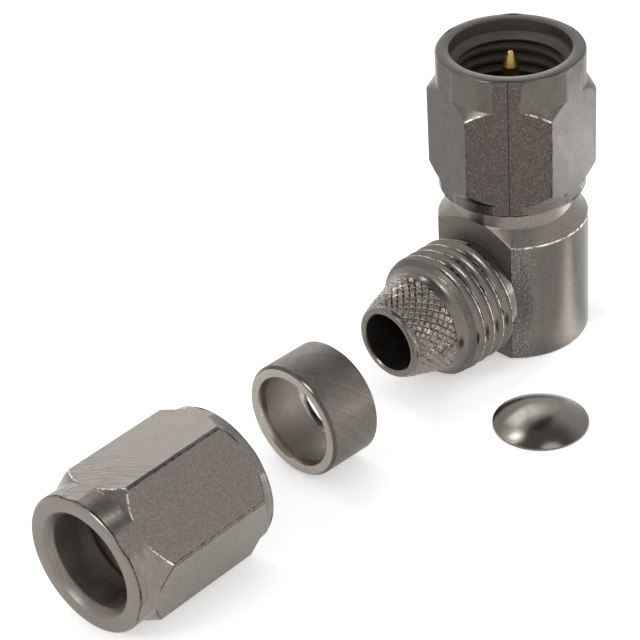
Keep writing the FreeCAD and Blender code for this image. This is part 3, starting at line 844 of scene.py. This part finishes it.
def make_bushing():
    bore, spigot, groove, root = 1.69, 2.59, 3.1, 3.09
    fillet = [(3.08, 7.26), (2.98, 7.35), (2.915, 7.46), (2.87, 7.58)]
    band = [(cone_radius(d) - sunk, d) for d, sunk in (
        (KNURL_START - 0.05, 0.0), (KNURL_START + 0.02, 0.04), (KNURL_END - 0.02, 0.04),
        (KNURL_END + 0.05, 0.0))]
    lip = rounding(1.97, 10.19, 0.12, 16, 90, 5)
    outline = [(bore, 2.47), (spigot, 2.47), (spigot, 3.22), (groove, 3.22), (groove, 3.55),
               (root, 3.6), (root, 6.7), (3.4, 6.82), (3.48, 6.92), (3.2, 7.2)]
    outline += fillet + band + lip + [(1.76, 10.31), (bore, 10.24)]
    bushing = turned("threaded_bushing", outline)
    look = finished(bushing, turned=port_nickel, bore=port_bore, lead=shaded_port_lead)
    # Painted shade inside the bore.
    repaint(bushing, look["bore"], lambda middle, radius, normal: radius < 1.72)
    # The lead-in takes its darker copy: painted shade.
    repaint(bushing, look["lead"], lambda middle, radius, normal:
            6.75 < middle.z < 7.22 and radius > 3.0)
    seat(bushing, PORT)
    smooth(bushing, 30)

    def outside(distance):
        """The outside thread's greatest radius: it leaves the groove and ends in its lead-in."""
        return min(3.55, 3.02 + max(0.0, distance - 3.5) * 1.2,
                   3.2 + 7.2 - distance, 3.2 + 2.2 * (7.2 - distance))

    half = [(3.0, -0.375), (3.21, -0.375), (3.23, -0.3), (3.29, -0.2), (3.4, -0.1),
            (3.55, -0.035)]
    ridge = thread_ridge(half + [(radius, -height) for radius, height in reversed(half)],
                         pitch=0.75, start=3.5, turns=5, limit=outside)
    # The crest carries a painted highlight.
    look = finished(ridge, turned=port_nickel, crest=thread_crest_highlight)
    repaint(ridge, look["crest"], lambda middle, radius, normal: radius > 3.53)
    seat(ridge, PORT)
    sleeve = knurled_sleeve()
    finished(sleeve, knurled=knurled_nickel)
    seat(sleeve, PORT)
    join(bushing, ridge, sleeve)
    dress(bushing, PLUG, ["cable_bushing"])


# Loose pieces

def make_clamp_ring():
    bore, length = 2.475, 3.25
    ring = turned("clamp_ring_sleeve", [
        (2.6, 0.0), (3.06, 0.0), (RING_RADIUS, 0.14), (RING_RADIUS, 3.11), (3.06, length),
        (2.6, length), (bore, 2.75), (bore, 0.5),
    ])
    soften(ring, 0.02)
    look = finished(ring, outside=ring_nickel, face=lit_ring_face, bore=lit_ring_bore, bevel=shaded_ring_bevel,
                    lead=lit_ring_lead)
    # Lighter copies on the bore, face and lead-in, a darker one on the bevel: painted light and
    # shade.
    repaint(ring, look["bore"], lambda middle, radius, normal: radius < 2.61)
    repaint(ring, look["face"], lambda middle, radius, normal: abs(normal.z) > 0.9)
    repaint(ring, look["bevel"], lambda middle, radius, normal:
            radius > 2.95 and 0.15 < abs(normal.z) < 0.9)
    repaint(ring, look["lead"], lambda middle, radius, normal:
            radius < 2.61 and 0.15 < abs(normal.z) < 0.9)
    seat(ring, RING)
    smooth(ring)
    dress(ring, PLUG, ["clamp_ring"])


def make_clamp_nut():
    corner, length = CLAMP_CORNER, 9.35
    cable_collar, ring_collar, minor, major, cable_hole, cable_mouth = (
        3.8, 3.87, 3.27, 3.62, 2.61, 2.94)
    cone_feet = (1.38, 8.82)  # where the corner chamfers meet the turned ends
    nut = turned("long_clamp_nut", [
        (cable_mouth, 0.0), (3.68, 0.0), (cable_collar, 0.12), (cable_collar, 1.38),
        (corner, 2.01), (corner, 8.36), (ring_collar, 8.82), (ring_collar, 9.23),
        (3.75, length), (3.57, length), (minor, 9.05), (minor, 8.95), (major, 8.75),
        (major, 3.2), (minor, 3.0), (minor, 2.45), (cable_hole, 2.05), (cable_hole, 0.5),
    ], sides=NUT_SIDES)
    facing = mill_flats(nut, CLAMP_ACROSS, 30 + CLAMP_ROLL)
    look = finished(nut, turned=clamp_nickel, sides=clamp_flats, worn=clamp_shaded_edges,
                    face=clamp_face, bore=clamp_bore, upper=lit_clamp_top_flat, lower=lit_clamp_low_flat,
                    rubbed=clamp_rubbed)
    soften(nut, 0.045, slot=look["worn"])
    # Broken edges keep painted shade, except the hollow arcs, which turn plain nickel, and the arcs
    # near the cable end away from the lower flats, which get a painted highlight.
    for face in nut.data.polygons:
        middle, radius = face.center, math.hypot(face.center.x, face.center.y)
        if face.material_index == look["worn"] and abs(face.normal.z) > 0.12:
            hollow = any(abs(middle.z - foot) < 0.06 and radius < 3.93 for foot in cone_feet)
            nearest = max(facing, key=middle.dot)
            rubbed = 1 < middle.z < 3 and nearest.x < 0.2
            face.material_index = look["turned" if hollow else "rubbed" if rubbed else "worn"]
        # The upper and lower flats take lighter copies: painted light.
        way = flat_under(face, facing, CLAMP_ACROSS)
        if way is not None:
            face.material_index = look[
                "upper" if way.x < -0.9 else "lower" if way.x > 0.2 else "sides"]
    repaint(nut, look["face"], lambda middle, radius, normal: middle.z < 0.6 and radius < 3.7)
    # Painted shade inside the bore.
    repaint(nut, look["bore"], lambda middle, radius, normal: middle.z > 0.4 and radius < 3.66)
    seat(nut, LONG_NUT)
    smooth(nut)

    def inside(height):
        """The inside thread's least radius: it sinks into the lead-in bevel."""
        return max(3.28, 3.29 + height - 9.05)

    ridge = thread_ridge([(3.64, -0.36), (3.56, -0.3), (3.28, -0.07),
                          (3.28, 0.07), (3.56, 0.3), (3.64, 0.36)],
                         pitch=0.75, start=2.9, turns=8, limit=inside)
    # The inside thread takes the bore's painted shade.
    finished(ridge, bore=clamp_bore)
    seat(ridge, LONG_NUT)
    join(nut, ridge)
    dress(nut, PLUG, ["clamp_nut"])


def dome(foot_radius, foot, crown, steps):
    """Points of an arc from a foot up to a crown on the axis, stopping just short of it."""
    rise = crown - foot
    radius = (foot_radius ** 2 + rise ** 2) / (2 * rise)
    centre = crown - radius
    start = math.atan2(foot - centre, foot_radius)
    angles = [start + (math.pi / 2 - start) * i / steps for i in range(steps)]
    points = [(radius * math.cos(a), centre + radius * math.sin(a)) for a in angles]
    return points + [(0.02, crown)]


def make_access_cap():
    outside, inside, rim, height, wall, edge = 2.6, 2.3, 0.16, 0.78, 0.3, 0.05
    outer = dome(outside, rim, height, 14)
    inner = dome(inside, 0.0, height - wall, 8)
    outline = inner[::-1] + [(inside, 0.0), (2.55, 0.0), (outside, edge)] + outer
    cap = turned("domed_access_cap", outline, ends="capped")
    look = finished(cap, dome=cap_nickel, rim=cap_rim)
    repaint(cap, look["rim"], lambda middle, radius, normal:
            radius > 2.5 and abs(normal.z) < 0.4)
    seat(cap, CAP)
    smooth(cap, 30)
    dress(cap, PLUG, ["access_cap"])


# Solids that show as they are

def finish_inner_pieces():
    for name, material in (("retaining_ring", spring_bronze), ("face_gasket", red_silicone),
                           ("front_insulator", white_insulator),
                           ("rear_insulator", white_insulator)):
        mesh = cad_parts[name].data
        mesh.materials.clear()
        mesh.materials.append(material)


# Floor, light and camera

def seen_directly(tree):
    """One where the camera, a reflection or clear glass looks, nothing where only light falls."""
    ray = node(tree, "ShaderNodeLightPath")
    seen = maths(tree, "MAXIMUM", ray.outputs["Is Camera Ray"], ray.outputs["Is Glossy Ray"])
    return maths(tree, "MAXIMUM", seen, ray.outputs["Is Transmission Ray"])


def make_floor():
    bare()
    bpy.ops.mesh.primitive_plane_add(size=1.6, location=(0, 0, FLOOR))
    floor = bpy.context.object
    floor.name = "studio_floor"
    material, tree, shader = finish_of("pale floor")
    shader.inputs["Base Color"].default_value = (0.93, 0.93, 0.93, 1)
    shader.inputs["Roughness"].default_value = 0.9
    shader.inputs["Specular IOR Level"].default_value = 0.0
    shader.inputs["Emission Color"].default_value = (1, 1, 1, 1)
    glow = maths(tree, "MULTIPLY", seen_directly(tree), 0.38)
    tree.links.new(glow, shader.inputs["Emission Strength"])
    floor.data.materials.append(material)


KIT_MIDDLE = (-0.014, -0.002, -0.008)

# Cards before the access cap, which mirrors them as one highlight that fades outwards. Each row
# gives, in millimetres, the card's middle across from the cap's axis and above its foot, and its
# distance, width and height; then its strength. No two lie in one plane, where only one would show.
CAP_CARDS = (
    (2.0, 4.1, 3.27, 10.0, 6.8, 0.75),
    (4.6, 4.6, 3.2, 5.0, 3.6, 0.5),
    (2.0, 3.5, 3.13, 5.4, 3.4, 0.45),
    (1.4, 3.4, 3.06, 3.8, 2.8, 0.6),
    (0.6, 2.9, 2.99, 3.6, 2.4, 0.6),
    (0.1, 2.9, 2.92, 2.2, 2.0, 0.8),
)


def lamp(name, azimuth, elevation, distance, size, strength, aim=KIT_MIDDLE, beam=180):
    """A rectangular lamp in a direction from its aim, so many times as bright as white.

    The size is its width and its height in metres, and the beam its spread in degrees.
    """
    data = bpy.data.lights.new(name, "AREA")
    data.shape = "RECTANGLE"
    data.size_y, data.size = size
    data.energy = strength * math.pi * size[0] * size[1]
    data.spread = math.radians(beam)
    made = bpy.data.objects.new(name, data)
    made.visible_camera = False
    bpy.context.scene.collection.objects.link(made)
    a, e = math.radians(azimuth), math.radians(elevation)
    way = Vector((math.cos(a) * math.cos(e), math.sin(a) * math.cos(e), math.sin(e)))
    made.location = Vector(aim) + way * distance
    made.rotation_euler = (0, math.radians(90 - elevation), a)
    return made


def light():
    world = bpy.data.worlds.new("studio")
    bpy.context.scene.world = world
    world.use_nodes = True
    tree = world.node_tree
    background = tree.nodes["Background"]
    spot = node(tree, "ShaderNodeTexCoord")
    height = parts_of(tree, spot.outputs["Generated"])["Z"]
    overhead = spread(tree, height, 0.0, 1.0, 0.66, 0.86)
    tree.links.new(blend(tree, overhead, (1, 1, 1), (0.3, 0.3, 0.3)), background.inputs["Color"])
    lamp("left lamp", 87, 60, 0.35, (0.05, 0.06), 10)
    lamp("right lamp", -40, 77, 0.35, (0.02, 0.09), 9)
    lamp("back lamp", 54, 13, 0.4, (0.3, 0.07), 2.5)
    lamp("front lamp", -55, 5, 0.3, (0.05, 0.05), 8)
    lamp("knurl lamp", -84, 32, 0.3, (0.03, 0.08), 5.5)
    lamp("rear lamp", 178, 38, 0.35, (0.1, 0.06), 12)
    lamp("floor strip", -46, 90, 0.002, (0.0015, 0.012), 4, (0.0043, -0.0086, FLOOR), 100)
    lamp("floor lamp", -30, 90, 0.008, (0.008, 0.01), 10, (0.0225, -0.012, FLOOR), 90)
    for across, above, distance, width, tall, strength in CAP_CARDS:
        lamp("cap card", 90, 0, distance * MM, (width * MM, tall * MM), strength,
             CAP @ Vector((across * MM, 0, above * MM)))


def make_camera():
    """The photograph's view: angles in radians, lengths in millimetres, focal length in pixels."""
    azimuth, elevation, roll = -0.74, 0.581, -0.068
    distance, aside, above = 139.846, 11.209, 0.095
    focal = 2427.62
    back = Vector((math.sin(azimuth) * math.cos(elevation),
                   -math.cos(azimuth) * math.cos(elevation), math.sin(elevation)))
    right = Vector((math.cos(azimuth), math.sin(azimuth), 0))
    up = back.cross(right)
    across = math.cos(roll) * right + math.sin(roll) * up
    upward = -math.sin(roll) * right + math.cos(roll) * up
    eye = back * distance - across * aside - upward * above
    data = bpy.data.cameras.new("camera")
    data.sensor_fit = "HORIZONTAL"
    data.sensor_width = 36.0
    data.lens = focal * data.sensor_width / PICTURE_WIDTH
    data.clip_start = 0.005
    data.clip_end = 10
    camera = bpy.data.objects.new("camera", data)
    bpy.context.scene.collection.objects.link(camera)
    facing = Matrix((across, upward, back)).transposed().to_4x4()
    camera.matrix_world = move(eye.x, eye.y, eye.z - REFERENCE_HEIGHT) @ facing
    bpy.context.scene.camera = camera


make_elbow()
make_coupling_nut()
make_contact()
make_bushing()
make_clamp_ring()
make_clamp_nut()
make_access_cap()
finish_inner_pieces()
make_floor()
light()
make_camera()
bpy.context.scene.view_settings.view_transform = "Standard"

bpy.context.view_layer.update()
